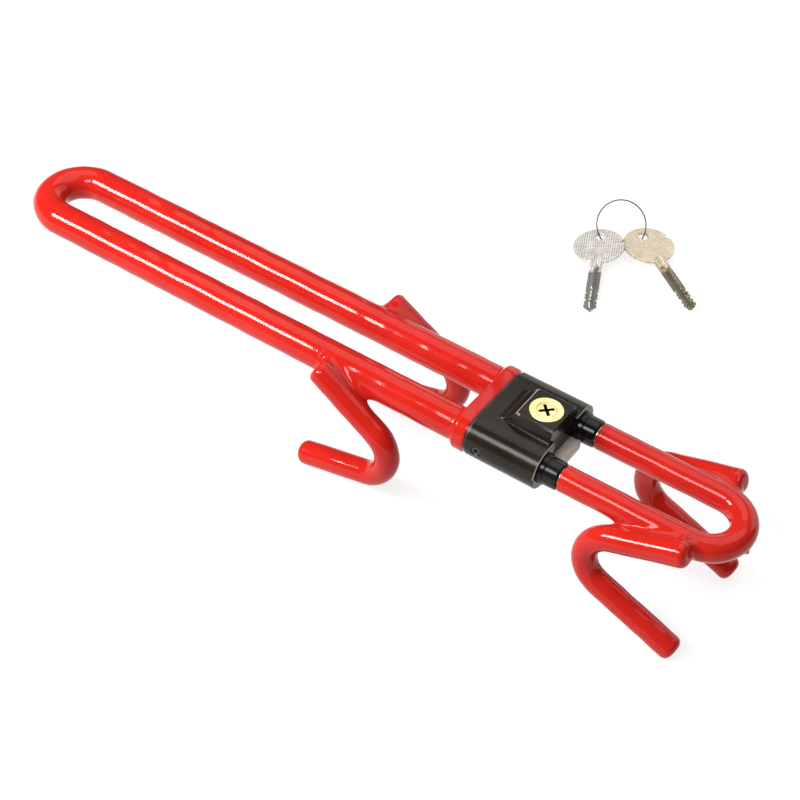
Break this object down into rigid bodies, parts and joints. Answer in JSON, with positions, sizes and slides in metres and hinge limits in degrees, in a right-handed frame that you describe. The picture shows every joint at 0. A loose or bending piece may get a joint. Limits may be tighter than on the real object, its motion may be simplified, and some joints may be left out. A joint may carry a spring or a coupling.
{
  "type": "steering wheel lock",
  "caption": "Telescoping steering wheel lock: a red hairpin tube with a black key-operated head, a sliding U-bar, hooks on both parts that catch the rim, and keys on a ring.",
  "frame": {"origin": "middle of the lock head's flat underside, straight below the key cylinder's axis", "axes": "+X along the bar, out of the head towards the bend of the sliding bar; +Y towards the left-hand leg; +Z out of the keyhole, away from the hooks"},
  "size_m": [0.4822, 0.3205, 0.0914],
  "materials": {
    "steel": "drawn bar, lightly oiled",
    "weld": "as welded, covered by the skin",
    "red_vinyl": "thick dipped skin, high gloss",
    "black_cover": "satin black",
    "black_bush": "satin black",
    "dark_steel": "blackened",
    "brass": "turned, fine rings",
    "nickel": "bright nickel plate"
  },
  "bodies": {
    "lock_frame": {"frame_tube": "steel", "end_plate": "steel", "rear_hook_left": "steel", "rear_hook_right": "steel", "rear_welds": "weld", "frame_coating": "red_vinyl", "rear_hook_coating_left": "red_vinyl", "rear_hook_coating_right": "red_vinyl", "lock_block": "dark_steel", "head_cover": "black_cover", "guide_bush_left": "black_bush", "guide_bush_right": "black_bush", "cover_screws": "dark_steel", "lock_barrel": "brass", "barrel_pin": "steel", "driver_pins": "steel", "pin_springs": "steel", "bolt_plate": "steel", "bolt_plate_screws": "dark_steel"},
    "hook_bar": {"hook_bar": "steel", "front_hook_left": "steel", "front_hook_right": "steel", "front_welds": "weld", "bar_coating": "red_vinyl", "front_hook_coating_left": "red_vinyl", "front_hook_coating_right": "red_vinyl", "stop_rings": "steel"},
    "plug": {"lock_plug": "brass", "key_pins": "brass", "cam_plate": "steel", "cam_screw": "steel"},
    "bolt_left": {"lock_bolt_left": "steel"},
    "bolt_right": {"lock_bolt_right": "steel"},
    "ring": {"key_ring": "nickel"},
    "key_one": {"key_left": "nickel"},
    "key_two": {"key_right": "nickel"}
  },
  "joints": [
    {"name": "bar_extend", "type": "slide", "parent": "lock_frame", "child": "hook_bar", "axis": [1, 0, 0], "range_m": [0, 0.2]},
    {"name": "plug_turn", "type": "hinge", "parent": "lock_frame", "child": "plug", "pos_m": [0, 0, 0.0125], "axis": [0, 0, -1], "range_deg": [0, 90]},
    {"name": "bolt_left_slide", "type": "slide", "parent": "lock_frame", "child": "bolt_left", "axis": [0, 1, 0], "range_m": [0, 0.003]},
    {"name": "bolt_right_slide", "type": "slide", "parent": "lock_frame", "child": "bolt_right", "axis": [0, -1, 0], "range_m": [0, 0.003]},
    {"name": "keys_lift", "type": "slide", "parent": "lock_frame", "child": "ring", "axis": [0, 0, 1], "range_m": [0, 0.15]},
    {"name": "key_one_swing", "type": "hinge", "parent": "ring", "child": "key_one", "pos_m": [-0.09232, 0.24591, -0.05223], "axis": [0, 0, 1], "range_deg": [-20, 0]},
    {"name": "key_two_swing", "type": "hinge", "parent": "ring", "child": "key_two", "pos_m": [-0.07009, 0.26456, -0.05223], "axis": [0, 0, 1], "range_deg": [0, 20]}
  ],
  "couplings": [
    {"joint": "bolt_left_slide", "follows": "plug_turn", "m_per_rad": 0.0019098},
    {"joint": "bolt_right_slide", "follows": "plug_turn", "m_per_rad": 0.0019098}
  ]
}
